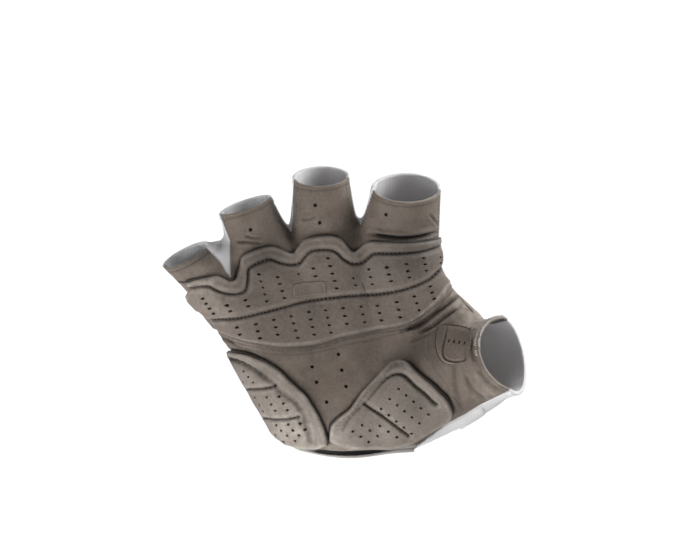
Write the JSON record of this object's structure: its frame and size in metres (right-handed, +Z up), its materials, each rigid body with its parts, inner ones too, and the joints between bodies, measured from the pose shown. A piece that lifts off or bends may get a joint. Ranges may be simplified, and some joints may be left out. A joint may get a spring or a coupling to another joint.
{
  "type": "fingerless cycling glove",
  "caption": "Right-hand fingerless cycling glove, shaped as worn, with a grey leather palm, raised perforated palm pads and a white stretch fabric back.",
  "frame": {"origin": "middle of the wrist opening, where the wrist comes out of the glove", "axes": "+X towards the thumb side, +Y out of the back of the hand, so the palm faces -Y, +Z up towards the fingers"},
  "size_m": [0.1305, 0.053, 0.1049],
  "materials": {
    "palm_leather": "taupe grey synthetic leather, matt with a slight sheen, fine grain",
    "pad_leather": "the same leather moulded over foam, perforated",
    "back_fabric": "white stretch knit, matt",
    "binding": "pale folded edge binding, matt"
  },
  "bodies": {
    "root": {"palm_panel": "palm_leather", "thumb_panel": "palm_leather", "thumb_patch": "palm_leather", "knuckle_pad": "pad_leather", "outer_heel_pad": "pad_leather", "thumb_heel_pad": "pad_leather", "back_panel": "back_fabric", "fourchette_little_ring": "back_fabric", "fourchette_ring_middle": "back_fabric", "fourchette_middle_index": "back_fabric", "wrist_binding": "binding"}
  },
  "joints": []
}
